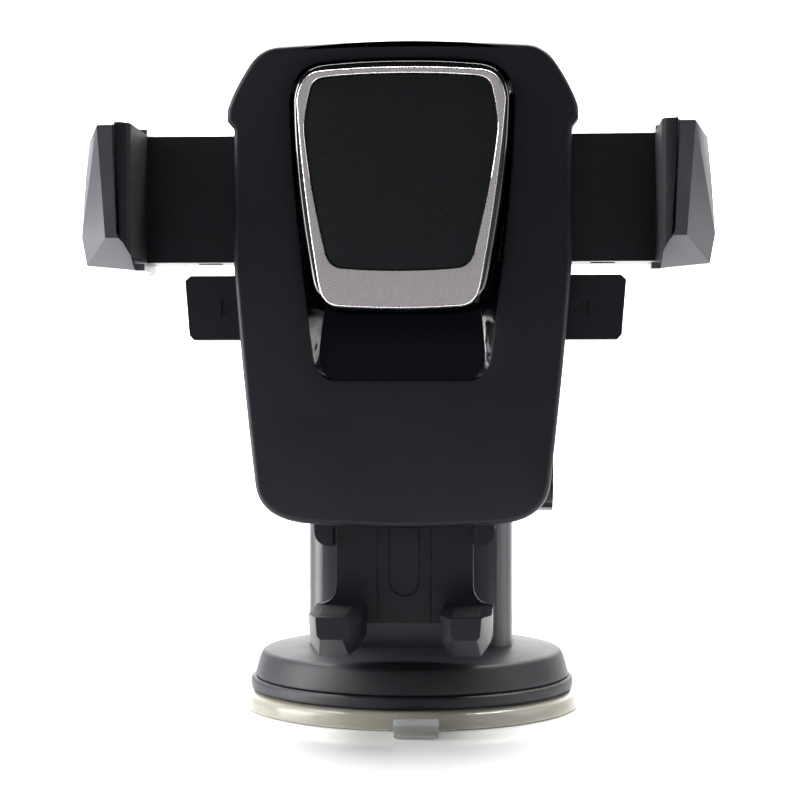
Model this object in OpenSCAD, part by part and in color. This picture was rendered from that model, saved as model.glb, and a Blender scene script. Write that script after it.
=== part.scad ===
// Car phone mount: spring-jaw cradle on a ball joint, telescopic neck and suction base.
// The origin is the centre of the suction cup's underside; the cradle faces -Y.

/* [Cradle] */
// Half width of the front cover along its straight sides
cover_half = 30; // [29.5:0.1:30.5]
// Height of the cover's top above the ground
cover_top = 122.7; // [122:0.1:123.5]
// Y of the cover's front face
cover_front = -35; // [-35.5:0.1:-34.8]
// Y of the joint between front cover and rear housing
split_y = -29; // [-29.2:0.1:-28.8]
// Y of the rear housing's back behind the jaw mechanism
housing_back = -10; // [-10:0.1:-9.8]
// Y of the thinner lower part's back
lower_back = -17; // [-17.5:0.1:-16.5]

/* [Jaws] */
// Distance that both jaws sit to the left of the middle
jaw_shift = 0.9; // [0:0.1:1]
// Half of the opening between the jaw pads
pad_x = 46; // [45.5:0.1:46.5]
// Half of the span over the jaws
jaw_out = 55.5; // [55.2:0.1:55.8]
// Y of the jaws' front faces
jaw_front = -44.2; // [-44.4:0.1:-44]
// Lowest point of the arms
arm_low = 84.1; // [84:0.1:84.5]
// Highest point of the arms
arm_high = 107.2; // [107:0.1:107.4]

/* [Lever] */
// Lean of the lever's face, bottom forwards
lever_tilt = 8; // [7.5:0.1:8.5]

/* [Foot] */
// Width of the sliding plate
foot_w = 24.9; // [24:0.1:25]
// Half the distance between the toes
toe_x = 11.5; // [11:0.1:12]

/* [Neck] */
// Height of the neck's pivot
pivot_z = 48.5; // [48:0.1:49]
// Width of the column
column_w = 39.2; // [39:0.1:40]
// Depth of the column
column_d = 19.2; // [19:0.1:19.4]
// Radius of the ball
ball_r = 8; // [7.9:0.05:8.1]

/* [Base] */
// Radius of the gel cup
gel_r = 32.5; // [32:0.1:33]
// Radius of the base ring
ring_r = 31.3; // [31.2:0.1:31.4]

/* [Hidden] */
$fn = 64;
eps = 0.01;

// Middle height and half height of the cover's outline and of the lever's
cover_mid = 79.5;
cover_rise = 43;
skirt_half = 19.1;
skirt_mid = 96.7;
skirt_rise = 21.9;

// Height where the housing steps back to the thinner lower part
lower_top = 62.5;

// Housing screws: x and z of the top pair and the low pair, and the depths of their heads
screw_at = [[23.4, 115.2], [20.5, 47]];
screw_head_y = [-13, lower_back - 2];
screw_r = 1.2;
post_r = 2.9;

// Layers of the jaw mechanism, front to back
arm_y0 = -27;
arm_y1 = -18.5;
rack_y0 = -18.2;
rack_y1 = -16.2;
tab_rack_y0 = -15.8;
tab_rack_y1 = -13.8;
link_x0 = 14.2;
link_x1 = 16.8;
spring_y0 = -13.5;
spring_y1 = -12.3;
wall = 2;
fit = 0.3;

// Pinion: a large gear for the arms and a small one for the tabs
gear_m = 1;
gear_z = (arm_low + arm_high) / 2;
big_teeth = 18;
small_teeth = 10;
big_r = gear_m * big_teeth / 2;
small_r = gear_m * small_teeth / 2;
axle_r = 1.5;
axle_y = -13;

// Jaws, front to back
jaw_mid = -38.5;
pad_back = -27.6;
jaw_back = -17.5;

// Lever hinge
hinge_y = -31.5;
hinge_z = 114.5;
lever_front = -36.4;
lever_back = -33.7;
hinge_r = 1.2;
skin = 1.6;

// Ball joint
ball_y = 1;
ball_z = 86;
boss_r = 2.4;
seat_r = ball_r + 1.5;
cup_r = 12.5;
run = 0.05;

// Neck
tube_y0 = 14;
tube_y1 = 28;
tube_half = 12;
cheek_gap = 11.5;
bolt_r = 3;
lock_z = 72;
lock_r = 1.7;

// Top of the gel cup's thick edge and of the base ring
lip_z = 3.5;
rim_z = 5.8;

// Suction lever
lever_pin_y = 5;
lever_pin_z = 22;
lever_pin_r = 1.5;
lever_half = 8;
plunger_r = 3;

// Quadratic curve from a to c, pulled towards b
function curve(a, b, c, n) =
  [for (i = [0:n]) let (t = i / n) (1 - t) * (1 - t) * a + 2 * t * (1 - t) * b + t * t * c];

// Both halves of an outline given for x >= 0 from top to bottom
function both(half) =
  concat(half, [for (i = [len(half) - 1:-1:0]) if (half[i].x > 0.001) [-half[i].x, half[i].y]]);

// Outline drawn in by d on all sides, measured from its own middle
function drawn_in(points, d, half_x, mid_z, half_z) =
  [for (p = points) [p.x * (half_x - d) / half_x, mid_z + (p.y - mid_z) * (half_z - d) / half_z]];

cover_outline = both(concat(
  curve([0, cover_top], [12, cover_top], [22.5, cover_top - 0.7], 6),
  curve([22.6, cover_top - 0.72], [25.3, cover_top - 1.2], [27.2, cover_top - 4], 5),
  curve([27.3, cover_top - 4.15], [30.2, cover_top - 8.6], [cover_half + 1.2, cover_top - 11.9], 4),
  [[cover_half + 1.2, 108.7], [cover_half, 107.4]],
  curve([cover_half, 83], [28.7, 66], [26.9, 50], 6),
  curve([26.2, 44], [25.4, 38.2], [18, 37.2], 7),
  curve([17.9, 37.18], [9, 36.4], [0, 36.4], 4)));

scoop_outline = both(concat(
  curve([0, 119.6], [8, 119.6], [14.5, 118.9], 4),
  curve([14.6, 118.88], [19.4, 118.2], [19.9, 112], 6),
  curve([19.9, 111.9], [19.7, 98], [16.2, 70], 5),
  curve([15.9, 68], [15.5, 62.5], [11.5, 62.5], 5),
  [[0, 62.5]]));

skirt_outline = both(concat(
  curve([0, 118.6], [8, 118.6], [14, 117.9], 4),
  curve([14.1, 117.88], [18.6, 117.2], [19.1, 111.6], 6),
  curve([19.1, 111.5], [18.7, 96], [15.2, 79], 5),
  curve([15.1, 78.6], [14.4, 75.6], [11, 75.2], 4),
  curve([10.9, 75.19], [5, 74.9], [0, 74.9], 3)));

bezel_outline = both(concat(
  curve([0, 116.9], [8, 116.9], [14.3, 116.3], 4),
  curve([14.4, 116.28], [17.9, 115.8], [18.4, 111], 6),
  curve([18.4, 110.9], [17.2, 95], [14.1, 78.2], 5),
  curve([14, 77.8], [13.4, 74.5], [10.8, 74.1], 4),
  curve([10.7, 74.09], [5, 73.7], [0, 73.7], 3)));

// Seat for the jaw pad, its lower end cut off at a slant
pad_recess = [[pad_x - 1, 120], [pad_x + 3.2, 120], [pad_x + 2, 88.1], [pad_x - 0.4, 83.3],
  [pad_x - 1, 83.3]];

pad_outline = both(concat(
  curve([0, 115.8], [8, 115.8], [13.6, 115.2], 4),
  curve([13.7, 115.15], [15.2, 114.9], [15.6, 113.3], 4),
  curve([15.65, 113], [16.9, 108], [16.7, 105.5], 3),
  curve([16.65, 105], [15.6, 95], [12.8, 83.2], 5),
  curve([12.7, 82.9], [12, 80.8], [9.6, 80.7], 4),
  curve([9.5, 80.69], [5, 80.3], [0, 80.3], 3)));

// A plate with a front-view outline (x, z) between two depths
module slab(points, y0, y1) {
  translate([0, y1, 0]) rotate([90, 0, 0]) linear_extrude(y1 - y0) polygon(points);
}

// A bar with a side-view outline (y, z) between two widths
module side_bar(points, x0, x1) {
  translate([x0, 0, 0]) rotate([90, 0, 90]) linear_extrude(x1 - x0) polygon(points);
}

// A box from its low corner to its high corner
module block(low, high) {
  translate(low) cube(high - low);
}

// A round bar along X, Y or Z
module bar_x(r, x0, x1, y, z) { translate([x0, y, z]) rotate([0, 90, 0]) cylinder(r = r, h = x1 - x0); }
module bar_y(r, y0, y1, x, z) { translate([x, y1, z]) rotate([90, 0, 0]) cylinder(r = r, h = y1 - y0); }
module bar_z(r, z0, z1, x, y) { translate([x, y, z0]) cylinder(r = r, h = z1 - z0); }

// Puts a piece of the upright lever at its rest lean
module leaned() {
  translate([0, hinge_y, hinge_z]) rotate([-lever_tilt, 0, 0]) translate([0, -hinge_y, -hinge_z]) children();
}

module mirrored() { mirror([1, 0, 0]) children(); }

// ---- Cradle shells ----

module front_cover() {
  color("#17171b") {
    difference() {
      slab(cover_outline, cover_front, split_y);
      slab(drawn_in(cover_outline, 2.4, cover_half, cover_mid, cover_rise), cover_front + 4, split_y + 1);
      slab(scoop_outline, cover_front - 1, cover_front + 3);
      slab(drawn_in(skirt_outline, -0.6, skirt_half, skirt_mid, skirt_rise), cover_front - 1, split_y + 1);
      block([-12, cover_front + 2, 72.5], [12, split_y + 1, 76]);
      at_screws(post_r, cover_front + 3, [split_y, split_y]);
      bar_x(hinge_r, -20, 20, hinge_y, hinge_z);
    }
    for (side = [-1, 1])
      difference() {
        block([side > 0 ? 15 : -20.6, -33.2, 112], [side > 0 ? 20.6 : -15, split_y, 117]);
        bar_x(hinge_r, -20, 20, hinge_y, hinge_z);
      }
    difference() {
      at_screws(post_r, cover_front + 3, [split_y, split_y]);
      at_screws(screw_r, cover_front + 3, [split_y, split_y]);
    }
  }
}

// Bars at the four housing screws, from y0 to their own depths at the top pair and the low pair
module at_screws(r, y0, y1) {
  for (i = [0, 1], side = [-1, 1])
    bar_y(r, y0, y1[i], side * screw_at[i].x, screw_at[i].y);
}

// The same bars, from the screw heads' seats backwards
module at_heads(r, depth) {
  for (i = [0, 1], side = [-1, 1])
    bar_y(r, screw_head_y[i], screw_head_y[i] + depth, side * screw_at[i].x, screw_at[i].y);
}

module rear_housing() {
  color("#121215") difference() {
    union() {
      intersection() {
        slab(drawn_in(cover_outline, 0.6, cover_half, cover_mid, cover_rise), split_y, housing_back);
        side_bar([[split_y - 1, 120], [-16, 122.5], [housing_back + 1, 117], [housing_back + 1, lower_top],
          [lower_back, lower_top - 3], [lower_back, 41.5], [-20, 37], [split_y - 1, 37]], -40, 40);
      }
      for (side = [-1, 1])
        slab([for (p = concat([[13, 42], [16.4, 42]], curve([16.4, 35.6], [16.4, 32.5], [13, 32.5], 6)))
          [side * p.x, p.y]], -27.2, -20.8);
    }
    difference() {
      intersection() {
        slab(drawn_in(cover_outline, 2.8, cover_half, cover_mid, cover_rise),
          split_y - 1, housing_back - wall);
        side_bar([[split_y - 2, 119], [housing_back - wall, 116], [housing_back - wall, lower_top + 3],
          [lower_back - wall, lower_top - 1], [lower_back - wall, 43.5], [split_y - 2, 41]], -40, 40);
      }
      at_screws(post_r + 0.5, split_y, [housing_back, housing_back]);
      block([-29.3, split_y, arm_high + fit], [29.3, arm_y1 - 0.5, arm_high + fit + 1.2]);
      for (side = [-1, 1])
        block([side > 0 ? 16 : -28, split_y, 82.3], [side > 0 ? 28 : -16, arm_y1 - 0.5, arm_low - fit]);
    }
    at_screws(screw_r + 0.5, split_y - 1, [0, 0]);
    at_heads(3.1, 20);
    for (side = [-1, 1]) {
      block([side > 0 ? 20 : -40, arm_y0 - fit, arm_low - fit],
        [side > 0 ? 40 : -20, arm_y1 + fit, arm_high + fit]);
      block([side > 0 ? 20 : -40, -27.6, 69.6], [side > 0 ? 40 : -20, -20.3, 82]);
    }
    block([-foot_w / 2 - fit, -25.8, 30], [foot_w / 2 + fit, -22.2, 50]);
    bar_y(axle_r, axle_y, housing_back + 1, 0, gear_z);
    bar_y(boss_r + run, axle_y, housing_back + 1, 0, ball_z);
  }
}

module housing_screws() {
  color("#8a8c90") {
    at_screws(screw_r, -31.5, screw_head_y + [eps, eps]);
    at_heads(2.8, 1.5);
  }
}

// ---- Lever ----

module trigger_lever() {
  color("#0b0b0d") difference() {
    union() {
      difference() {
        leaned() slab(skirt_outline, lever_front, lever_front + 12);
        block([-30, lever_back, 60], [30, 10, 130]);
        leaned() slab(drawn_in(skirt_outline, 2.5, skirt_half, skirt_mid, skirt_rise),
          lever_front + skin, lever_front + 14);
      }
      for (side = [-1, 1])
        bar_x(2.3, side > 0 ? 4 : -14, side > 0 ? 14 : -4, hinge_y, hinge_z);
      for (side = [-1, 1])
        block([side > 0 ? 4 : -14, -35.4, hinge_z - 1.6], [side > 0 ? 14 : -4, hinge_y, hinge_z + 1.6]);
      block([-4, -38.6, 84], [4, lever_back, 88]);
    }
    bar_x(hinge_r + run, -30, 30, hinge_y, hinge_z);
  }
}

module trigger_bezel() {
  color("#b9b3bb") leaned() difference() {
    slab(bezel_outline, lever_front - 1.2, lever_front);
    slab(pad_outline, lever_front - 2, lever_front + 1);
  }
}

module trigger_pad() {
  color("#141417") leaned() slab(pad_outline, lever_front - 0.9, lever_front);
}

module trigger_pin() {
  color("#b0b2b6") bar_x(hinge_r, -20, 20, hinge_y, hinge_z);
}

module trigger_spring() {
  color("#9a9ca0") {
    for (i = [-3:3])
      translate([i * 0.8, hinge_y, hinge_z]) rotate([0, 90, 0])
        rotate_extrude() translate([1.75, 0]) circle(r = 0.42, $fn = 16);
    bar_y(0.4, hinge_y, -29, -2.4, hinge_z - 1.75);
  }
}

module latch_pawl() {
  color("#77797d") {
    block([-3, -33.2, 84.5], [3, -24, 87.5]);
    block([-1.5, -24, 84.5], [1.5, -21.5, 89.5]);
  }
}

// ---- Arms, racks and pinion ----

// Straight teeth along X, pointing to -Z from z = 0 at the pitch line
module rack_teeth(x0, count, y0, y1) {
  for (i = [0:count - 1])
    slab([for (p = [[-1.05, 1.25], [-0.24, -0.9], [0.24, -0.9], [1.05, 1.25]])
      [x0 + i * PI * gear_m + p.x, p.y]], y0, y1);
}

module gear(teeth, y0, y1) {
  r = gear_m * teeth / 2;
  bar_y(r - 1.25, y0, y1, 0, 0);
  for (i = [0:teeth - 1])
    rotate([0, i * 360 / teeth, 0])
      slab([[-1, r - 1.5], [-0.62, r], [-0.26, r + 0.85], [0.26, r + 0.85], [0.62, r], [1, r - 1.5]], y0, y1);
}

// Left arm: plate out to its jaw, step back to the rack bar, and teeth above the pinion
module arm(slot_z, reach) {
  difference() {
    block([-reach, arm_y0, arm_low], [-22, arm_y1, arm_high]);
    block([-38.2, arm_y0 + 2, slot_z], [-33.8, arm_y0 + 5, slot_z + 3]);
  }
  block([-26.5, arm_y1 - eps, arm_high - 5], [-23, rack_y1, arm_high]);
  block([-26.5, rack_y0, gear_z + big_r + 1.2], [5, rack_y1, arm_high + 1.3]);
  translate([0, 0, gear_z + big_r]) rack_teeth(-7 * PI * gear_m, 9, rack_y0, rack_y1);
}

module left_arm() {
  color("#0e0e11") arm(arm_low - 1, pad_x + 3 + jaw_shift);
}

// The right arm is the left one turned half round about the pinion, its slot still underneath
module right_arm() {
  color("#0e0e11") translate([0, 0, 2 * gear_z]) rotate([0, 180, 0])
    arm(arm_high - 2, pad_x + 3 - jaw_shift);
}

// Faceted jaw on the right side: a narrow front face, wide outer facets and a chamfered foot
module jaw() {
  difference() {
    hull() {
      slab([[pad_x + 0.5, 106.8], [pad_x + 5.6, 106.8], [pad_x + 4.1, 87.2], [pad_x + 0.5, 87.2]],
        jaw_front, jaw_front + eps);
      slab([[pad_x + 0.1, 108.5], [pad_x + 5.4, 108.5], [jaw_out - 1.3, 104.6], [jaw_out - 0.6, 97.5],
        [jaw_out, 87.8], [jaw_out - 0.9, 82.8], [pad_x + 0.1, 82]], jaw_mid, jaw_back - 4);
      slab([[pad_x + 0.1, 107.5], [jaw_out - 2.6, 107.5], [jaw_out - 2, 84], [pad_x + 0.1, 83]],
        jaw_back - eps, jaw_back);
    }
    block([pad_x, arm_y0, arm_low], [pad_x + 3, arm_y1, arm_high]);
    slab(pad_recess, jaw_front - 1, pad_back + fit);
    slab([[pad_x + 3.3, 120], [pad_x + 3.5, 120], [pad_x + 2.2, 88], [pad_x - 1, 82], [pad_x - 1.3, 82],
      [pad_x + 2, 88]], jaw_front - 1, jaw_front + 0.5);
  }
  block([pad_x - 1.4, -37, 82], [pad_x + 1, -30, 83.2]);
}

// Moves both jaws off the middle with the arms
module shifted() { translate([-jaw_shift, 0, 0]) children(); }

module left_jaw() { color("#2c2b32") shifted() mirrored() jaw(); }
module right_jaw() { color("#2c2b32") shifted() jaw(); }

module jaw_pad() {
  intersection() {
    slab([[pad_x, 107.4], [pad_x + 2.7, 107.4], [pad_x + 1.95, 88.1], [pad_x, 84.2]],
      jaw_front + 0.6, pad_back);
    translate([0, 0, 70]) linear_extrude(50)
      polygon([[pad_x + 3.1, pad_back], [pad_x + 3.1, jaw_front + 0.6], [pad_x + 1.2, jaw_front + 0.6],
        [pad_x + 0.5, jaw_front + 0.9], [pad_x, jaw_front + 1.8], [pad_x, pad_back]]);
  }
}

module left_jaw_pad() { color("#1a191c") shifted() mirrored() jaw_pad(); }
module right_jaw_pad() { color("#1a191c") shifted() jaw_pad(); }

module pinion_gear() {
  color("#d8d4c8") translate([0, 0, gear_z]) difference() {
    union() {
      rotate([0, 180 / big_teeth, 0]) gear(big_teeth, rack_y0 + 0.1, rack_y1);
      rotate([0, 180 / small_teeth, 0]) gear(small_teeth, rack_y1 - 0.1, tab_rack_y1);
    }
    bar_y(axle_r + run, -30, 0, 0, 0);
  }
}

module pinion_axle() {
  color("#b0b2b6") {
    bar_y(axle_r, rack_y0 - 0.4, housing_back, 0, gear_z);
    bar_y(2.6, rack_y0 - 1.4, rack_y0 - 0.4, 0, gear_z);
  }
}

module mainspring() {
  turns = 3;
  steps = 20;
  function at(r, a) = [r * cos(a), gear_z + r * sin(a)];
  color("#8e9095") slab(concat(
    [for (i = [0:turns * steps]) at(2 + i / steps * 1.6, i * 360 / steps)],
    [for (i = [turns * steps:-1:0]) at(2.6 + i / steps * 1.6, i * 360 / steps)]), spring_y0, spring_y1);
}

// Left tab: outer block, a link up behind the arms and a rack under the small gear
module left_tab() {
  color("#0e0e11") {
    tab_block();
    block([-link_x1, -20.7, 76], [-link_x0, tab_rack_y1, 80.5]);
    block([-link_x1, tab_rack_y0, 76], [-link_x0, tab_rack_y1, gear_z - small_r - 1.2]);
    block([-link_x1, tab_rack_y0, gear_z - small_r - 4], [13.7, tab_rack_y1, gear_z - small_r - 1.2]);
    translate([0, 0, gear_z - small_r]) mirror([0, 0, 1]) rack_teeth(0, 5, tab_rack_y0, tab_rack_y1);
  }
}

// Right tab: the same with its rack above the small gear
module right_tab() {
  color("#0e0e11") {
    mirrored() tab_block();
    block([link_x0, -20.7, 76], [link_x1, tab_rack_y1, 80.5]);
    block([link_x0, tab_rack_y0, 76], [link_x1, tab_rack_y1, gear_z + small_r + 4]);
    block([-13.7, tab_rack_y0, gear_z + small_r + 1.2], [link_x1, tab_rack_y1, gear_z + small_r + 4]);
    translate([0, 0, gear_z + small_r]) mirrored() rack_teeth(0, 5, tab_rack_y0, tab_rack_y1);
  }
}

module tab_block() {
  difference() {
    slab([[-link_x0, 81.7], [-39, 81.7], [-40, 80.8], [-39.2, 70.9], [-38.4, 70], [-link_x0, 70]],
      -27.2, -20.6);
    slab([[-33.3, 77.6], [-33.3, 74.2], [-30.6, 75.9]], -28, -26.8);
  }
}

// ---- Foot ----

module toe() {
  hull() {
    slab([[toe_x - 4.55, 21.8], [toe_x + 4.55, 21.8], [toe_x + 4.55, 16.6], [toe_x + 3, 14],
      [toe_x - 3, 14], [toe_x - 4.55, 16.6]], -26.5, -25);
    slab([[toe_x - 4.5, 21.8], [toe_x + 4.5, 21.8], [toe_x + 4.2, 17], [toe_x + 2.6, 14.6],
      [toe_x - 2.6, 14.6], [toe_x - 4.2, 17]], -40.5, -40);
    slab([[toe_x - 2.75, 21.8], [toe_x + 2.75, 21.8], [toe_x + 2.5, 18.6], [toe_x + 1.9, 18],
      [toe_x - 1.9, 18], [toe_x - 2.5, 18.6]], -45.7, -45.6);
  }
}

module foot_slider() {
  color("#101013") difference() {
    union() {
      slab(both(concat([[0, 60], [foot_w / 2, 60]],
        curve([foot_w / 2, 25.2], [foot_w / 2 + 0.2, 22], [foot_w / 2 + 3.7, 21.8], 5),
        [[16.2, 21.8], [16.2, 18.5], [0, 18.5]])), -25.5, -22.5);
      toe();
      mirrored() toe();
    }
    for (side = [-1, 1])
      block([side * 4.85 - 0.2, -26, 17], [side * 4.85 + 0.2, -25.2, 58]);
    difference() {
      slab_slot(2.95, 23.4, -26, -25.1);
      slab_slot(2.5, 23.85, -27, -24);
    }
    for (side = [-1, 1])
      block([side * toe_x - 2.4, -43.4, 21], [side * toe_x + 2.4, -28, 22]);
  }
}

// Upright slot with a round lower end
module slab_slot(half, low, y0, y1) {
  bar_y(half, y0, y1, 0, low + half);
  block([-half, y0, low + half], [half, y1, 56]);
}

module toe_pad() { block([toe_x - 2.4, -43.4, 21], [toe_x + 2.4, -28, 21.8]); }
module left_toe_pad() { color("#1a191c") mirrored() toe_pad(); }
module right_toe_pad() { color("#1a191c") toe_pad(); }

module foot_clip() {
  color("#8e9095") side_bar([[-19.2, 46], [-19.2, 48], [-22.1, 52], [-22.1, 54], [-19.2, 58], [-19.2, 60],
    [-19.7, 60], [-19.7, 58.2], [-22.4, 54.2], [-22.4, 51.8], [-19.7, 47.8], [-19.7, 46]], -4, 4);
}

// ---- Ball joint ----

// Turns a half profile (radius, distance towards +Y) about the ball's own Y axis
module turned() {
  translate([0, ball_y, ball_z]) rotate([-90, 0, 0])
    rotate_extrude() children();
}

module ball_socket() {
  color("#121215") {
    turned() difference() {
      translate([0, housing_back + 0.1 - ball_y]) square([cup_r, 4 + ball_y - housing_back - 0.1]);
      circle(r = seat_r + run);
    }
    bar_y(boss_r, housing_back - wall + 0.1, housing_back + 0.1 + eps, 0, ball_z);
  }
}

module ball_seat() {
  color("#d8d4c8") turned() difference() {
    intersection() {
      circle(r = seat_r);
      translate([0, -seat_r - 1]) square([seat_r + 1, seat_r + 1 + 4.3]);
    }
    circle(r = ball_r + run);
  }
}

module lock_ring() {
  grips = 16;
  color("#19191d") difference() {
    bar_y(16, -6, ball_y + 7, 0, ball_z);
    bar_y(cup_r + run, -7, ball_y + 4.6, 0, ball_z);
    bar_y(9.8, -7, 20, 0, ball_z);
    for (i = [0:grips - 1])
      translate([0, 0, ball_z]) rotate([0, i * 360 / grips, 0]) bar_y(1.3, -7, 20, 0, 16.6);
  }
}

module ball_stud() {
  color("#8a8c90") {
    translate([0, ball_y, ball_z]) sphere(r = ball_r);
    bar_y(3.5, ball_y + 5, tube_y0, 0, ball_z);
  }
}

// ---- Neck ----

// Upright block with round corners
module rounded_block(half_x, y0, y1, z0, z1, r) {
  block([-half_x + r, y0, z0], [half_x - r, y1, z1]);
  block([-half_x, y0 + r, z0], [half_x, y1 - r, z1]);
  for (x = [-half_x + r, half_x - r], y = [y0 + r, y1 - r])
    bar_z(r, z0, z1, x, y);
}

module outer_arm() {
  color("#222228") difference() {
    rounded_block(tube_half, tube_y0, tube_y1, 64, 108, 3);
    rounded_block(9.8, tube_y0 + 2.2, tube_y1 - 2.2, 60, 105.6, 1.5);
    bar_y(lock_r + run, 20, 40, 0, lock_z);
  }
}

module inner_arm() {
  color("#2c2b32") difference() {
    union() {
      rounded_block(9.5, tube_y0 + 2.5, tube_y1 - 2.5, 62, 104, 1.5);
      bar_x(9, -cheek_gap + fit, cheek_gap - fit, 0, pivot_z);
      side_bar([[-5, 56], [5, 41.5], [25.5, 57], [25.5, 62.5], [16.5, 62.5]], -8.5, 8.5);
    }
    bar_x(bolt_r + run, -30, 30, 0, pivot_z);
    block([-2.2, 21.6, 66], [2.2, 30, 110]);
  }
}

module length_lock() {
  color("#0e0e11") {
    bar_y(lock_r, 24, 29.9, 0, lock_z);
    bar_y(4.4, 29.8, 30.41, 0, lock_z);
    translate([0, 31.4, lock_z]) rotate([90, 0, 0]) cylinder(r1 = 3.8, r2 = 4.4, h = 1);
  }
}

module pivot_bolt() {
  color("#8a8c90") {
    bar_x(bolt_r, -19.9, 24, 0, pivot_z);
    bar_x(5.5, -23.4, -19.9, 0, pivot_z);
  }
}

module pivot_knob() {
  grips = 12;
  color("#17171b") difference() {
    bar_x(11, 20, 27.4, 0, pivot_z);
    bar_x(bolt_r + run, 19, 24.2, 0, pivot_z);
    for (i = [0:grips - 1])
      translate([0, 0, pivot_z]) rotate([i * 360 / grips, 0, 0]) bar_x(1.4, 19, 30, 0, 11.8);
  }
}

module column() {
  color("#2c2b32") difference() {
    union() {
      intersection() {
        rounded_block(column_w / 2, -column_d / 2, column_d / 2, 6, 62, 5);
        union() {
          bar_x(column_d / 2, -30, 30, 0, pivot_z);
          block([-30, -column_d / 2, 0], [30, column_d / 2, pivot_z]);
        }
      }
      rounded_block(column_w / 2 + 1.9, -column_d / 2 - 2, column_d / 2 + 2, 6, 9, 5);
    }
    block([-cheek_gap, -30, 37], [cheek_gap, 30, 70]);
    bar_x(bolt_r, -30, 30, 0, pivot_z);
    block([-lever_half - 0.4, 0.6, 16], [lever_half + 0.4, 30, 35]);
    block([-lever_half - 0.4, 6, 12.6], [lever_half + 0.4, 30, 20]);
    bar_x(lever_pin_r, -13, 13, lever_pin_y, lever_pin_z);
    bar_z(plunger_r + run, 0, 18.5, 0, 0);
  }
}

// ---- Suction base ----

module dome() {
  color("#1d1d22") difference() {
    rotate_extrude() polygon(concat([[0, rim_z], [30.5, rim_z]],
      curve([30.4, rim_z + 0.4], [29.7, 10.2], [27.9, 11], 6),
      curve([27.4, 11.1], [24, 11.9], [16, 12.3], 5), [[0, 12.4]]));
    rotate_extrude() polygon([[0, 5], [28, 5], [26.6, 8.4], [24, 9.1], [0, 9.1]]);
    rounded_block(column_w / 2 + 0.05, -column_d / 2 - 0.05, column_d / 2 + 0.05, 0, 20, 5);
  }
}

module base_ring() {
  color("#1a1a1e") rotate_extrude()
    polygon([[23, lip_z], [ring_r - 0.6, lip_z], [ring_r, lip_z + 0.5], [ring_r, rim_z - 0.5],
      [ring_r - 0.6, rim_z], [23, rim_z]]);
}

module gel_cup() {
  color("#cfccc0") rotate_extrude()
    polygon([[0, 0], [gel_r - 0.4, 0], [gel_r, 0.4], [gel_r, 2.1], [gel_r - 0.5, 2.8], [ring_r - 1, lip_z],
      [23, lip_z], [21, 2.7], [0, 2.7]]);
}

module pull_tab() {
  color("#e4e4e2") rotate([0, 0, 4]) {
    block([-3.95, -gel_r - 7.9, 0.3], [3.95, -gel_r + 0.8, 1.4]);
    block([-3.95, -gel_r - 7.9, 1.39], [3.95, -gel_r - 1, 2.3]);
    block([-3.95, -gel_r - 7.9, 2.29], [3.95, -gel_r - 6.6, 3.5]);
  }
}

module suction_plunger() {
  color("#8a8c90") {
    bar_z(plunger_r, 3.2, 16.2, 0, 0);
    bar_z(9, 3, 4, 0, 0);
  }
}

module plunger_spring() {
  color("#9a9ca0") for (i = [0:1])
    translate([0, 0, 4.55 + i * 0.85]) rotate_extrude() translate([5.2, 0]) circle(r = 0.45, $fn = 16);
}

module suction_lever() {
  color("#17171b") difference() {
    union() {
      bar_x(4, -lever_half, lever_half, lever_pin_y, lever_pin_z);
      side_bar([[lever_pin_y, 18.1], [8.4, 20.2], [12.4, 23], [15.5, 24], [15.5, 34], [14.4, 36],
        [12.4, 36], [12.4, 29], [lever_pin_y, 26]], -lever_half, lever_half);
    }
    bar_x(lever_pin_r + run, -13, 13, lever_pin_y, lever_pin_z);
  }
}

module lever_pin() {
  color("#b0b2b6") bar_x(lever_pin_r, -13, 13, lever_pin_y, lever_pin_z);
}

front_cover();
rear_housing();
housing_screws();
trigger_lever();
trigger_bezel();
trigger_pad();
trigger_pin();
trigger_spring();
latch_pawl();
left_arm();
right_arm();
left_jaw();
right_jaw();
left_jaw_pad();
right_jaw_pad();
pinion_gear();
pinion_axle();
mainspring();
left_tab();
right_tab();
foot_slider();
left_toe_pad();
right_toe_pad();
foot_clip();
ball_socket();
ball_seat();
lock_ring();
ball_stud();
outer_arm();
inner_arm();
length_lock();
pivot_bolt();
pivot_knob();
column();
dome();
base_ring();
gel_cup();
pull_tab();
suction_plunger();
plunger_spring();
suction_lever();
lever_pin();
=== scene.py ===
"""Car phone mount: detailed shells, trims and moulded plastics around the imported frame."""
import math
import bmesh
import bpy
from mathutils import Matrix, Vector


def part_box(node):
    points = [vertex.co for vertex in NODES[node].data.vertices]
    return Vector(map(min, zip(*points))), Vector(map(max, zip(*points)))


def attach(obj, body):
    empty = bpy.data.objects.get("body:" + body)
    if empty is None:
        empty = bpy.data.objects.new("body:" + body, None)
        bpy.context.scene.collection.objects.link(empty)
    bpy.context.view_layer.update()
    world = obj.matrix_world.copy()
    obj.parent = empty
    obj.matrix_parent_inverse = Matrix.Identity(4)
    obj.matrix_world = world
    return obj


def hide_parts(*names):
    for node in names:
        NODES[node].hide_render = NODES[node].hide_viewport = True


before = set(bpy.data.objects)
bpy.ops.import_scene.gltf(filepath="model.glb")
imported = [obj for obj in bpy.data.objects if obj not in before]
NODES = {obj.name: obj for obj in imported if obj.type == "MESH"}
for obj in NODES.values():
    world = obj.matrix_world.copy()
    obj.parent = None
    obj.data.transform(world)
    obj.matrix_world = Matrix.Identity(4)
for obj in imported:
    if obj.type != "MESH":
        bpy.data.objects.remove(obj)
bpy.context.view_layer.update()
MM = 0.001

# Angles in degrees: flatter faces are joined, and steeper edges are bevelled, split or shaded as sharp
FLAT_WITHIN = 0.6
BEVEL_FROM = 28
SPLIT_FROM = 32
SHARP_FROM = 35


# ---- Materials ----

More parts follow.
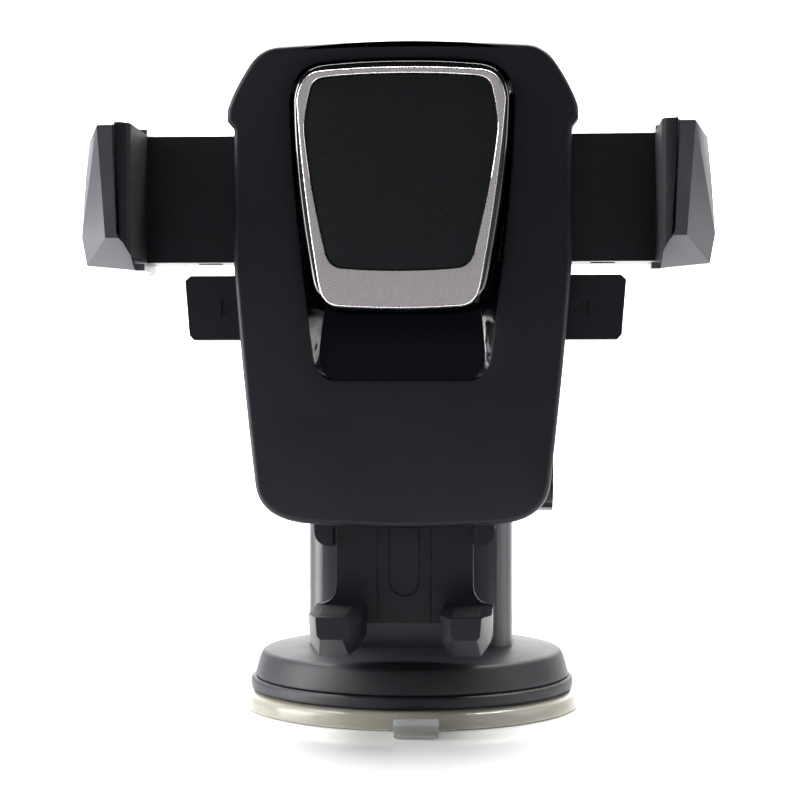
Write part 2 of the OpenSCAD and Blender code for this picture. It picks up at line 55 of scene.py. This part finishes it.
def new_material(name):
    """An empty node material and its principled shader."""
    mat = bpy.data.materials.new(name)
    mat.use_nodes = True
    tree = mat.node_tree
    return mat, tree, tree.nodes["Principled BSDF"]


def noise(tree, scale, detail=2.0, rough=0.5):
    """A noise texture in object coordinates; scale is in cells per metre."""
    coords = tree.nodes.new("ShaderNodeTexCoord")
    tex = tree.nodes.new("ShaderNodeTexNoise")
    tex.inputs["Scale"].default_value = scale
    tex.inputs["Detail"].default_value = detail
    tex.inputs["Roughness"].default_value = rough
    tree.links.new(coords.outputs["Object"], tex.inputs["Vector"])
    return tex


def ramp(tree, source, low, high, dark, light):
    """Maps a 0..1 value between two stops to two colours."""
    node = tree.nodes.new("ShaderNodeValToRGB")
    node.color_ramp.elements[0].position = low
    node.color_ramp.elements[1].position = high
    node.color_ramp.elements[0].color = (*dark, 1)
    node.color_ramp.elements[1].color = (*light, 1)
    tree.links.new(source, node.inputs["Fac"])
    return node


def spread(tree, source, low, high):
    """Maps a 0..1 value to low..high."""
    node = tree.nodes.new("ShaderNodeMapRange")
    node.inputs["To Min"].default_value = low
    node.inputs["To Max"].default_value = high
    tree.links.new(source, node.inputs["Value"])
    return node


def bump(tree, shader, source, height, strength=0.5):
    """Raises the surface by source, height metres at most."""
    node = tree.nodes.new("ShaderNodeBump")
    node.inputs["Distance"].default_value = height
    node.inputs["Strength"].default_value = strength
    tree.links.new(source, node.inputs["Height"])
    tree.links.new(node.outputs["Normal"], shader.inputs["Normal"])


def moulded(name, colour, rough, grain=9000.0, depth=0.00002, specular=0.5, coat=0.0):
    """Moulded plastic: fine spark-erosion grain, slight colour drift and uneven gloss."""
    mat, tree, shader = new_material(name)
    drift = noise(tree, 60.0, 3.0)
    dark = [c * 0.86 for c in colour]
    light = [c * 1.16 for c in colour]
    tint = ramp(tree, drift.outputs["Fac"], 0.3, 0.7, dark, light)
    tree.links.new(tint.outputs["Color"], shader.inputs["Base Color"])
    gloss = spread(tree, noise(tree, 220.0, 4.0).outputs["Fac"], rough - 0.05, rough + 0.05)
    tree.links.new(gloss.outputs["Result"], shader.inputs["Roughness"])
    shader.inputs["Specular IOR Level"].default_value = specular
    shader.inputs["Coat Weight"].default_value = coat
    shader.inputs["Coat Roughness"].default_value = 0.05
    bump(tree, shader, noise(tree, grain, 2.0).outputs["Fac"], depth)
    return mat


def sparkled(name, colour, spark, rough):
    """Black pad film with tiny light flecks set in it."""
    mat, tree, shader = new_material(name)
    coords = tree.nodes.new("ShaderNodeTexCoord")
    cells = tree.nodes.new("ShaderNodeTexVoronoi")
    cells.inputs["Scale"].default_value = 2600.0
    tree.links.new(coords.outputs["Object"], cells.inputs["Vector"])
    tint = ramp(tree, cells.outputs["Distance"], 0.05, 0.13, spark, colour)
    tree.links.new(tint.outputs["Color"], shader.inputs["Base Color"])
    gloss = spread(tree, noise(tree, 3500.0, 3.0).outputs["Fac"], rough - 0.08, rough + 0.1)
    tree.links.new(gloss.outputs["Result"], shader.inputs["Roughness"])
    shader.inputs["Specular IOR Level"].default_value = 0.22
    bump(tree, shader, noise(tree, 5200.0, 3.0).outputs["Fac"], 0.00004)
    return mat


def metal(name, colour, rough, streak=1.0):
    """Satin plated metal with a fine grain, drawn out along X when streak is under 1."""
    mat, tree, shader = new_material(name)
    coords = tree.nodes.new("ShaderNodeTexCoord")
    mapping = tree.nodes.new("ShaderNodeMapping")
    mapping.inputs["Scale"].default_value = (streak, 1, 1)
    grain = tree.nodes.new("ShaderNodeTexNoise")
    grain.inputs["Scale"].default_value = 6000.0
    grain.inputs["Detail"].default_value = 3.0
    tree.links.new(coords.outputs["Object"], mapping.inputs["Vector"])
    tree.links.new(mapping.outputs["Vector"], grain.inputs["Vector"])
    tint = ramp(tree, grain.outputs["Fac"], 0.25, 0.75, [c * 0.88 for c in colour], colour)
    tree.links.new(tint.outputs["Color"], shader.inputs["Base Color"])
    gloss = spread(tree, grain.outputs["Fac"], rough - 0.06, rough + 0.06)
    tree.links.new(gloss.outputs["Result"], shader.inputs["Roughness"])
    shader.inputs["Metallic"].default_value = 1.0
    bump(tree, shader, grain.outputs["Fac"], 0.000003, 0.4)
    return mat


def soft_gel(name, colour, transmission):
    """Cloudy translucent gel with faint streaks."""
    mat, tree, shader = new_material(name)
    tint = ramp(tree, noise(tree, 90.0, 4.0).outputs["Fac"], 0.3, 0.75, [c * 0.85 for c in colour], colour)
    tree.links.new(tint.outputs["Color"], shader.inputs["Base Color"])
    gloss = spread(tree, noise(tree, 300.0, 3.0).outputs["Fac"], 0.16, 0.3)
    tree.links.new(gloss.outputs["Result"], shader.inputs["Roughness"])
    shader.inputs["Transmission Weight"].default_value = transmission
    shader.inputs["Subsurface Weight"].default_value = 0.35
    shader.inputs["Subsurface Radius"].default_value = (0.004, 0.004, 0.003)
    shader.inputs["IOR"].default_value = 1.41
    bump(tree, shader, noise(tree, 700.0, 3.0).outputs["Fac"], 0.00003)
    return mat


COVER = moulded("cover_black", (0.0042, 0.0052, 0.0085), 0.42, depth=0.000012, specular=0.22)
HOUSING = moulded("housing_black", (0.0033, 0.004, 0.0068), 0.42, specular=0.24)
GLOSS = moulded("gloss_black", (0.0025, 0.003, 0.0045), 0.1, grain=600.0, depth=0.000004, coat=0.6)
# Scoop floor: a low-specular black whose colour is painted darker than the cover, as painted shade for the
# recess under the lever
FLOOR_BLACK_PAINTED_SHADE = moulded("floor_black_painted_shade", (0.0026, 0.0032, 0.005), 0.3, depth=0.000008, specular=0.06)
CHARCOAL = moulded("charcoal", (0.016, 0.015, 0.022), 0.38, depth=0.000012)
JAW = moulded("jaw_charcoal", (0.03, 0.0285, 0.038), 0.33, depth=0.000012)
BASE = moulded("base_black", (0.007, 0.0072, 0.0105), 0.5, depth=0.000012, specular=0.3)
RUBBER = sparkled("rubber", (0.0055, 0.006, 0.008), (0.12, 0.12, 0.13), 0.62)
PAD = sparkled("pad_film", (0.0026, 0.0034, 0.005), (0.09, 0.09, 0.1), 0.5)
SILVER = metal("silver_trim", (0.62, 0.58, 0.61), 0.27)
STEEL = metal("steel", (0.36, 0.36, 0.37), 0.36, streak=0.1)
NYLON = moulded("nylon", (0.62, 0.59, 0.51), 0.45)
GEL = soft_gel("gel", (0.5, 0.48, 0.4), 0.5)
CLEAR = soft_gel("clear_tab", (0.85, 0.87, 0.86), 0.85)

# Each CAD node's material and the width of its rounded edges in mm
LOOKS = {
    "front_cover": (COVER, 0.3), "rear_housing": (HOUSING, 0.6), "housing_screws": (STEEL, 0.15),
    "trigger_lever": (GLOSS, 0.2), "trigger_bezel": (SILVER, 0.2), "trigger_pad": (PAD, 0.2),
    "trigger_pin": (STEEL, 0.1), "trigger_spring": (STEEL, 0), "latch_pawl": (STEEL, 0.15),
    "left_arm": (HOUSING, 0.35), "right_arm": (HOUSING, 0.35), "left_jaw": (JAW, 0.45),
    "right_jaw": (JAW, 0.45), "left_jaw_pad": (RUBBER, 0.12), "right_jaw_pad": (RUBBER, 0.12),
    "pinion_gear": (NYLON, 0.06), "pinion_axle": (STEEL, 0.1), "mainspring": (STEEL, 0),
    "left_tab": (HOUSING, 0.6), "right_tab": (HOUSING, 0.6), "foot_slider": (HOUSING, 0.25),
    "left_toe_pad": (RUBBER, 0.15), "right_toe_pad": (RUBBER, 0.15), "foot_clip": (STEEL, 0),
    "ball_socket": (HOUSING, 0.3), "ball_seat": (NYLON, 0.05), "lock_ring": (COVER, 0.3),
    "ball_stud": (STEEL, 0.2), "outer_arm": (CHARCOAL, 0.8), "inner_arm": (CHARCOAL, 0.4),
    "length_lock": (COVER, 0.2), "pivot_bolt": (STEEL, 0.3), "pivot_knob": (COVER, 0.5),
    "column": (CHARCOAL, 0.7), "dome": (BASE, 0), "base_ring": (BASE, 0), "gel_cup": (GEL, 0),
    "pull_tab": (CLEAR, 0.2), "suction_plunger": (STEEL, 0.2), "plunger_spring": (STEEL, 0),
    "suction_lever": (COVER, 0.5), "lever_pin": (STEEL, 0.1),
}


def dress(node, look, edge):
    """Gives a CAD node its material and, where edge is over 0, rounded edges edge mm wide."""
    obj = NODES[node]
    mesh = obj.data
    mesh.materials.clear()
    mesh.materials.append(look)
    if "custom_normal" in mesh.attributes:
        mesh.attributes.remove(mesh.attributes["custom_normal"])
    mesh.polygons.foreach_set("use_smooth", [True] * len(mesh.polygons))
    weld = obj.modifiers.new("weld", "WELD")
    weld.merge_threshold = 0.002 * MM
    flats = obj.modifiers.new("flats", "DECIMATE")
    flats.decimate_type = "DISSOLVE"
    flats.angle_limit = math.radians(FLAT_WITHIN)
    if edge > 0:
        round_edges(obj, edge)
    else:
        split = obj.modifiers.new("edges", "EDGE_SPLIT")
        split.split_angle = math.radians(SPLIT_FROM)


def round_edges(obj, width):
    """Rounds sharp edges by width mm."""
    bevel = obj.modifiers.new("bevel", "BEVEL")
    bevel.width = width * MM
    bevel.segments = 3
    bevel.limit_method = "ANGLE"
    bevel.angle_limit = math.radians(BEVEL_FROM)
    bevel.harden_normals = True
    bevel.use_clamp_overlap = True


for node_name, (node_look, node_edge) in LOOKS.items():
    dress(node_name, node_look, node_edge)


# ---- Outlines (x, z) in mm, given for x >= 0 from the top down ----

def curve(a, b, c, n):
    """Quadratic curve from a to c, pulled towards b."""
    steps = [i / n for i in range(n + 1)]
    return [tuple((1 - t) ** 2 * p + 2 * t * (1 - t) * q + t * t * r for p, q, r in zip(a, b, c))
            for t in steps]


TOP = 122.7
COVER_LINE = (
    curve((0, TOP), (12, TOP), (22.5, TOP - 0.7), 8)
    + curve((22.6, TOP - 0.72), (25.3, TOP - 1.2), (27.2, TOP - 4), 8)
    + curve((27.3, TOP - 4.15), (30.2, TOP - 8.6), (31.2, TOP - 11.9), 8)
    + [(31.2, 108.7), (30, 107.4)]
    + curve((30, 83), (28.7, 66), (26.9, 50), 10)
    + curve((26.2, 44), (25.4, 38.2), (18, 37.2), 12)
    + curve((17.9, 37.18), (9, 36.4), (0, 36.4), 6))
SCOOP_LINE = (
    curve((0, 119.6), (8, 119.6), (14.5, 118.9), 6)
    + curve((14.6, 118.88), (19.4, 118.2), (19.9, 112), 10)
    + curve((19.9, 111.9), (19.7, 98), (16.2, 70), 10)
    + curve((15.9, 68), (15.5, 62.5), (11.5, 62.5), 10)
    + [(0, 62.5)])
SKIRT_LINE = (
    curve((0, 118.6), (8, 118.6), (14, 117.9), 6)
    + curve((14.1, 117.88), (18.6, 117.2), (19.1, 111.6), 10)
    + curve((19.1, 111.5), (18.7, 96), (15.2, 79), 10)
    + curve((15.1, 78.6), (14.4, 75.6), (11, 75.2), 8)
    + curve((10.9, 75.19), (5, 74.9), (0, 74.9), 5))
BEZEL_LINE = (
    curve((0, 116.9), (8, 116.9), (14.3, 116.3), 6)
    + curve((14.4, 116.28), (17.9, 115.8), (18.4, 111), 10)
    + curve((18.4, 110.9), (17.2, 95), (14.1, 78.2), 10)
    + curve((14.0, 77.8), (13.4, 74.5), (10.8, 74.1), 8)
    + curve((10.7, 74.09), (5, 73.7), (0, 73.7), 5))
PAD_LINE = (
    curve((0, 115.8), (8, 115.8), (13.6, 115.2), 6)
    + curve((13.7, 115.15), (15.4, 114.9), (16.0, 113.3), 6)
    + curve((16.05, 113), (17.2, 108), (17.0, 105.5), 5)
    + curve((16.95, 105), (15.9, 95), (12.9, 83.2), 8)
    + curve((12.7, 82.9), (12, 80.8), (9.6, 80.7), 8)
    + curve((9.5, 80.69), (5, 80.3), (0, 80.3), 4))


def both(half):
    """The closed outline from its right half."""
    return list(half) + [(-x, z) for x, z in reversed(half) if x > 0.001]


def directions(centre, lines, extra=120):
    """Sorted angles about centre that catch every corner of the outlines."""
    found = [i * 2 * math.pi / extra - math.pi for i in range(extra)]
    for line in lines:
        found += [math.atan2(x - centre[0], z - centre[1]) for x, z in both(line)]
    kept = []
    for angle in sorted(found):
        if not kept or angle - kept[-1] > math.radians(0.35):
            kept.append(angle)
    return kept


def ring(line, centre, angles):
    """The outline's points in the given directions from centre."""
    closed = both(line)
    points = []
    for angle in angles:
        dx, dz = math.sin(angle), math.cos(angle)
        best = 0.0
        for (x0, z0), (x1, z1) in zip(closed, closed[1:] + closed[:1]):
            ex, ez = x1 - x0, z1 - z0
            cross = dx * ez - dz * ex
            if abs(cross) < 1e-9:
                continue
            px, pz = x0 - centre[0], z0 - centre[1]
            along = (px * ez - pz * ex) / cross
            part = (px * dz - pz * dx) / cross
            if -1e-6 <= part <= 1 + 1e-6 and along > best:
                best = along
        points.append(Vector((centre[0] + dx * best, centre[1] + dz * best)))
    return points


def inset(points, amount):
    """The ring moved inwards by amount mm along its own normals."""
    moved = []
    count = len(points)
    for i, p in enumerate(points):
        side = points[(i + 1) % count] - points[i - 1]
        normal = Vector((side.y, -side.x)).normalized()
        moved.append(p + normal * amount)
    return moved


def loft(name, layers, look, body, nodes, closed_ends=False):
    """Skins rings of (points, y) in mm into a mesh; y is a number or a function of the point.

    With closed_ends the last ring joins the first one, and otherwise both ends are capped.
    """
    verts = []
    for points, depth in layers:
        for p in points:
            y = depth(p) if callable(depth) else depth
            verts.append((p.x * MM, y * MM, p.y * MM))
    count = len(layers[0][0])
    faces = []
    spans = len(layers) if closed_ends else len(layers) - 1
    for k in range(spans):
        low, high = k * count, ((k + 1) % len(layers)) * count
        for i in range(count):
            j = (i + 1) % count
            faces.append((low + i, low + j, high + j, high + i))
    if not closed_ends:
        faces.append(tuple(range(count - 1, -1, -1)))
        faces.append(tuple(range((len(layers) - 1) * count, len(layers) * count)))
    return piece(name, verts, faces, look, body, nodes)


def piece(name, verts, faces, look, body, nodes):
    """A smooth-shaded mesh that stands for CAD nodes and rides on a body."""
    mesh = bpy.data.meshes.new(name)
    mesh.from_pydata(verts, [], faces)
    mesh.validate()
    mesh.materials.append(look)
    obj = bpy.data.objects.new(name, mesh)
    bpy.context.scene.collection.objects.link(obj)
    fix_normals(mesh)
    mesh.polygons.foreach_set("use_smooth", [True] * len(mesh.polygons))
    mesh.set_sharp_from_angle(angle=math.radians(SHARP_FROM))
    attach(obj, body)
    if nodes:
        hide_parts(*nodes)
    return obj


def fix_normals(mesh):
    """Turns all faces outwards."""
    work = bmesh.new()
    work.from_mesh(mesh)
    bmesh.ops.remove_doubles(work, verts=work.verts, dist=0.00001 * MM)
    bmesh.ops.recalc_face_normals(work, faces=work.faces)
    work.to_mesh(mesh)
    work.free()


def quarter(radius, steps=5):
    """(inset, drop) pairs round a quarter circle from the side to the face."""
    turns = [i * math.pi / 2 / steps for i in range(steps + 1)]
    return [(radius * (1 - math.cos(a)), radius * (1 - math.sin(a))) for a in turns]


# ---- Front cover ----

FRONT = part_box("front_cover")[0].y / MM
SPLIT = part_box("front_cover")[1].y / MM
HUB = (0.0, 93.0)
SHELL_WALL = 2.2


SCOOP_FOOT = 62.4
SCOOP_RAMP = 13.0
SCOOP_MIN = 0.15
SCOOP_MAX = 3.0
WALL_SLANT = 1.8
SCOOP_LIP = 0.1
# How far across and how far down the slanted wall each of its rings lies
WALL_STEPS = ((0.0, 0.0), (0.04, 0.06), (0.5, 0.52), (0.93, 0.97), (1.0, 1.0))


def scoop_depth(z):
    """Depth of the scoop under the cover's face: full behind the lever, rising to nothing at its foot."""
    rise = min(1.0, max(0.0, (z - SCOOP_FOOT) / SCOOP_RAMP))
    return SCOOP_MIN + (SCOOP_MAX - SCOOP_MIN) * rise


def wall_foot(scoop, opening):
    """Where the scoop's slanted side wall meets its floor."""
    foot = []
    for p, q in zip(scoop, opening):
        width = WALL_SLANT * scoop_depth(p.y)
        foot.append(p + (q - p) * (width / max((q - p).length, width)))
    return foot


def scoop_skin(scoop, opening, lower):
    """Rings over the scoop's slanted wall and its floor, lower mm under the surface."""
    foot = wall_foot(scoop, opening)
    rings = []
    for t, drop in WALL_STEPS:
        rings.append(([p.lerp(q, t) for p, q in zip(scoop, foot)],
                      lambda p, drop=drop: FRONT + SCOOP_LIP + lower + (scoop_depth(p.y) - SCOOP_LIP) * drop))
    for t in (0.08, 0.5, 1.0):
        rings.append(([p.lerp(q, t) for p, q in zip(foot, opening)],
                      lambda p: FRONT + lower + scoop_depth(p.y)))
    return rings


def build_cover():
    """Cover with a rounded rim, and glossy walls and a floor darkened with painted shade laid into its scoop.
    """
    angles = directions(HUB, [COVER_LINE, SCOOP_LINE])
    outer = ring(COVER_LINE, HUB, angles)
    scoop = ring(SCOOP_LINE, HUB, angles)
    opening = inset(ring(SKIRT_LINE, HUB, angles), -0.55)
    edge = 1.1
    layers = [(inset(outer, SHELL_WALL), SPLIT), (inset(outer, 0.25), SPLIT), (outer, SPLIT - 0.25)]
    layers += [(inset(outer, i), FRONT + d) for i, d in quarter(edge)]
    layers += [(inset(scoop, -3.0), FRONT), (inset(scoop, -0.25), FRONT)]
    layers += [(inset(scoop, -0.05), FRONT + SCOOP_LIP)]
    layers += scoop_skin(scoop, opening, 0.05)
    layers += [(opening, SPLIT - 0.6), (inset(outer, SHELL_WALL), SPLIT - 0.6)]
    loft("cover_shell", layers, COVER, "cradle", ["front_cover"], closed_ends=True)
    skin = scoop_skin(scoop, opening, 0.0)
    under = scoop_skin(scoop, opening, 0.04)
    last = len(WALL_STEPS)
    walls = skin[:last] + under[:last][::-1]
    loft("scoop_walls", walls, GLOSS, "cradle", [], closed_ends=True)
    # The scoop floor's darker colour is painted shade for the recess under the lever
    floor = skin[last - 1:] + under[last - 1:][::-1]
    loft("scoop_floor", floor, FLOOR_BLACK_PAINTED_SHADE, "cradle", [], closed_ends=True)


build_cover()


# ---- Lever: skirt, bezel and pad, built upright and leaned about the hinge ----

HINGE = Vector((0, -31.5, 114.5)) * MM
LEAN_ANGLE = math.radians(8)
LEAN = Matrix.Translation(HINGE) @ Matrix.Rotation(-LEAN_ANGLE, 4, "X") @ Matrix.Translation(-HINGE)
LEVER_FRONT = -36.4
LEVER_BACK = -33.7
LEVER_GAP = 0.4
BEZEL_PROUD = 1.2
BEZEL_EDGE = 0.3
PAD_PROUD = 0.9
PAD_EDGE = 0.45


def leaned(obj):
    """Leans an upright piece out at its foot."""
    obj.data.transform(LEAN)
    obj.data.update()


def build_lever():
    """Glossy skirt, satin bezel on it, and the speckled pad inside the bezel."""
    angles = directions(HUB, [SKIRT_LINE, BEZEL_LINE, PAD_LINE])
    skirt = ring(SKIRT_LINE, HUB, angles)
    bezel = ring(BEZEL_LINE, HUB, angles)
    pad = ring(PAD_LINE, HUB, angles)

    def back(p):
        """Depth before leaning at which the lever ends level with the housing."""
        return LEVER_BACK + (HINGE.z / MM - p.y) * math.tan(LEAN_ANGLE) + LEVER_GAP

    layers = [(inset(skirt, SHELL_WALL), LEVER_FRONT + 1.6), (inset(skirt, SHELL_WALL), back), (skirt, back)]
    layers += [(inset(skirt, i), LEVER_FRONT + d) for i, d in quarter(0.8)]
    leaned(loft("trigger_skirt", layers, GLOSS, "trigger", ["trigger_lever"]))

    def crown(p):
        """The bezel's lower band swells forwards a little."""
        low = min(1.0, max(0.0, (83.5 - p.y) / 9.0))
        return -0.12 * math.sin(low * math.pi)

    face = LEVER_FRONT - BEZEL_PROUD
    layers = [(pad, LEVER_FRONT), (bezel, LEVER_FRONT)]
    layers += [(inset(bezel, i), lambda p, d=d: face + d + crown(p)) for i, d in quarter(BEZEL_EDGE)]
    for t in (0.25, 0.5, 0.75, 0.93, 1.0):
        layers.append(([p.lerp(q, t) for p, q in zip(inset(bezel, BEZEL_EDGE), inset(pad, -0.1))],
                       lambda p, t=t: face + crown(p) + 0.12 * t * t))
    layers += [(pad, face + 0.25)]
    leaned(loft("bezel_ring", layers, SILVER, "trigger", ["trigger_bezel"], closed_ends=True))

    low = LEVER_FRONT - PAD_PROUD
    inner = inset(pad, 0.05)
    layers = [(inner, LEVER_FRONT)] + [(inset(inner, i), low + d) for i, d in quarter(PAD_EDGE)]
    layers += [([Vector(HUB).lerp(p, t) for p in inset(inner, PAD_EDGE)], low - 0.12 * (1 - t * t))
               for t in (0.75, 0.5, 0.25, 0.05)]
    leaned(loft("pad_insert", layers, PAD, "trigger", ["trigger_pad"]))


build_lever()


# ---- Round base ----

def lathe(name, profile, look, body, nodes, count=160):
    """Turns a closed (radius, z) profile in mm about the Z axis."""
    verts = [(r * math.cos(a) * MM, r * math.sin(a) * MM, z * MM)
             for r, z in profile for a in [i * 2 * math.pi / count for i in range(count)]]
    faces = []
    for k in range(len(profile)):
        low, high = k * count, ((k + 1) % len(profile)) * count
        faces += [(low + i, low + (i + 1) % count, high + (i + 1) % count, high + i) for i in range(count)]
    return piece(name, verts, faces, look, body, nodes)


def build_base():
    """Dome, band under it and gel cup, each as a (radius, z) profile in mm."""
    rim_edge = (curve((30.45, 6.2), (30, 8.4), (29.4, 9.9), 6)
                + curve((29.25, 10.2), (28.9, 10.85), (28, 10.95), 6))
    dome = ([(9.5, 9.15), (24, 9.1), (26.6, 8.4), (28, 5.9), (30.2, 5.9), (30.4, 6.05)] + rim_edge
            + curve((27.5, 11.05), (24, 11.85), (16, 12.2), 10) + [(9.5, 12.35)])
    lathe("dome_shell", dome, BASE, "base", ["dome"])
    rim = ([(23, 3.55), (30.5, 3.55)] + curve((30.7, 3.55), (31.3, 3.6), (31.3, 4.2), 5)
           + curve((31.3, 5.1), (31.3, 5.7), (30.7, 5.8), 5) + [(23, 5.8)])
    lathe("rim_band", rim, BASE, "base", ["base_ring"])
    cup = ([(0.5, 0.0), (31.8, 0.0)] + curve((32.1, 0.02), (32.5, 0.1), (32.5, 0.7), 5)
           + curve((32.5, 1.8), (32.4, 2.7), (31.6, 3.0), 6)
           + [(30.3, 3.45), (23, 3.5), (21, 2.7), (0.5, 2.7)])
    lathe("gel_disc", cup, GEL, "base", ["gel_cup"])
    seam(rim_edge, 0.09, 0.035)


def seam(profile, half, proud):
    """Fine mould line up the front of the dome, half mm wide each way and proud mm high."""
    verts = []
    for r, z in profile:
        verts += [(x * MM, -(r + d) * MM, z * MM) for x, d in
                  ((-half, -0.2), (-half * 0.5, proud), (half * 0.5, proud), (half, -0.2))]
    faces = [(4 * k + i, 4 * k + (i + 1) % 4, 4 * k + 4 + (i + 1) % 4, 4 * k + 4 + i)
             for k in range(len(profile) - 1) for i in range(4)]
    faces += [(3, 2, 1, 0), tuple(4 * (len(profile) - 1) + i for i in range(4))]
    piece("dome_seam", verts, faces, BASE, "base", [])


build_base()


# ---- Stage, lights and camera ----

def build_stage():
    """A white sweep in metres: a floor that curves up behind."""
    depth, rise, radius, half = 0.9, 1.4, 0.35, 1.6
    path = [(-0.16, 0.0), (depth - radius, 0.0)]
    path += [(depth - radius + radius * math.sin(a), radius * (1 - math.cos(a)))
             for a in [i * math.pi / 2 / 12 for i in range(1, 13)]] + [(depth, rise)]
    verts = [(x, y, z) for y, z in path for x in (-half, half)]
    faces = [(2 * i, 2 * i + 1, 2 * i + 3, 2 * i + 2) for i in range(len(path) - 1)]
    mesh = bpy.data.meshes.new("sweep")
    mesh.from_pydata(verts, [], faces)
    mesh.polygons.foreach_set("use_smooth", [True] * len(mesh.polygons))
    mat, tree, shader = new_material("white_sweep")
    shader.inputs["Base Color"].default_value = (0.9, 0.9, 0.9, 1)
    shader.inputs["Roughness"].default_value = 0.5
    shader.inputs["Coat Weight"].default_value = 1.0
    shader.inputs["Coat Roughness"].default_value = 0.1
    shader.inputs["Coat IOR"].default_value = 1.9
    mesh.materials.append(mat)
    sweep = bpy.data.objects.new("sweep", mesh)
    bpy.context.scene.collection.objects.link(sweep)


def area_light(name, place, target, size, power, spread=180):
    """A rectangular soft box at place, facing target, spread degrees wide."""
    data = bpy.data.lights.new(name, "AREA")
    data.shape = "RECTANGLE"
    data.size, data.size_y = size
    data.energy = power
    data.spread = math.radians(spread)
    lamp = bpy.data.objects.new(name, data)
    lamp.location = place
    lamp.rotation_euler = (Vector(target) - Vector(place)).to_track_quat("-Z", "Y").to_euler()
    bpy.context.scene.collection.objects.link(lamp)


def build_world():
    """A pale room that is dark in front of the object, as a studio is behind the photographer."""
    world = bpy.data.worlds.new("studio")
    world.use_nodes = True
    tree = world.node_tree
    sky = tree.nodes["Background"]
    coords = tree.nodes.new("ShaderNodeTexCoord")
    parts = tree.nodes.new("ShaderNodeSeparateXYZ")
    shade = tree.nodes.new("ShaderNodeMapRange")
    shade.inputs["From Min"].default_value = -0.35
    shade.inputs["From Max"].default_value = 0.9
    shade.inputs["To Min"].default_value = 0.015
    shade.inputs["To Max"].default_value = 0.7
    tree.links.new(coords.outputs["Generated"], parts.inputs["Vector"])
    tree.links.new(parts.outputs["Y"], shade.inputs["Value"])
    tree.links.new(shade.outputs["Result"], sky.inputs["Strength"])
    sky.inputs["Color"].default_value = (1, 1, 1, 1)
    seen = tree.nodes.new("ShaderNodeBackground")
    seen.inputs["Color"].default_value = (0.95, 0.95, 0.95, 1)
    path = tree.nodes.new("ShaderNodeLightPath")
    mix = tree.nodes.new("ShaderNodeMixShader")
    tree.links.new(path.outputs["Is Camera Ray"], mix.inputs["Fac"])
    tree.links.new(sky.outputs["Background"], mix.inputs[1])
    tree.links.new(seen.outputs["Background"], mix.inputs[2])
    tree.links.new(mix.outputs["Shader"], tree.nodes["World Output"].inputs["Surface"])
    bpy.context.scene.world = world


def build_lights():
    build_world()
    area_light("left_box", (-0.6, -0.1, 0.2), (0, 0, 0.08), (0.35, 0.6), 9.5)
    area_light("right_box", (0.6, -0.06, 0.2), (0, 0, 0.08), (0.35, 0.6), 2.0)
    area_light("left_strip", (-0.6, -0.46, 0.12), (0, 0, 0.08), (0.16, 0.3), 0.5)
    area_light("right_strip", (0.6, -0.46, 0.12), (0, 0, 0.08), (0.16, 0.3), 0.5)
    area_light("top_box", (0, 0.3, 0.9), (0, 0.2, 0), (1.0, 0.5), 16, spread=120)
    area_light("front_top", (0.0, -0.6, 0.24), (0, 0, 0.09), (0.8, 0.46), 0.6)
    area_light("back_wash", (0, 0.3, 0.9), (0, 0.9, 0.35), (1.4, 0.3), 22)


CAMERA_AT = Vector((18.8, -361.5, 59.1))
CAMERA_AIM = Vector((-0.3, -35, 59.1))


def build_camera():
    """Level camera at the photographer's place, a third of a metre in front."""
    data = bpy.data.cameras.new("camera")
    data.sensor_width = 36.0
    data.lens = 83.25
    camera = bpy.data.objects.new("camera", data)
    camera.location = CAMERA_AT * MM
    aim = CAMERA_AIM * MM
    camera.rotation_euler = (aim - camera.location).to_track_quat("-Z", "Y").to_euler()
    bpy.context.scene.collection.objects.link(camera)
    bpy.context.scene.camera = camera
    bpy.context.scene.view_settings.view_transform = "Standard"


build_stage()
build_lights()
build_camera()
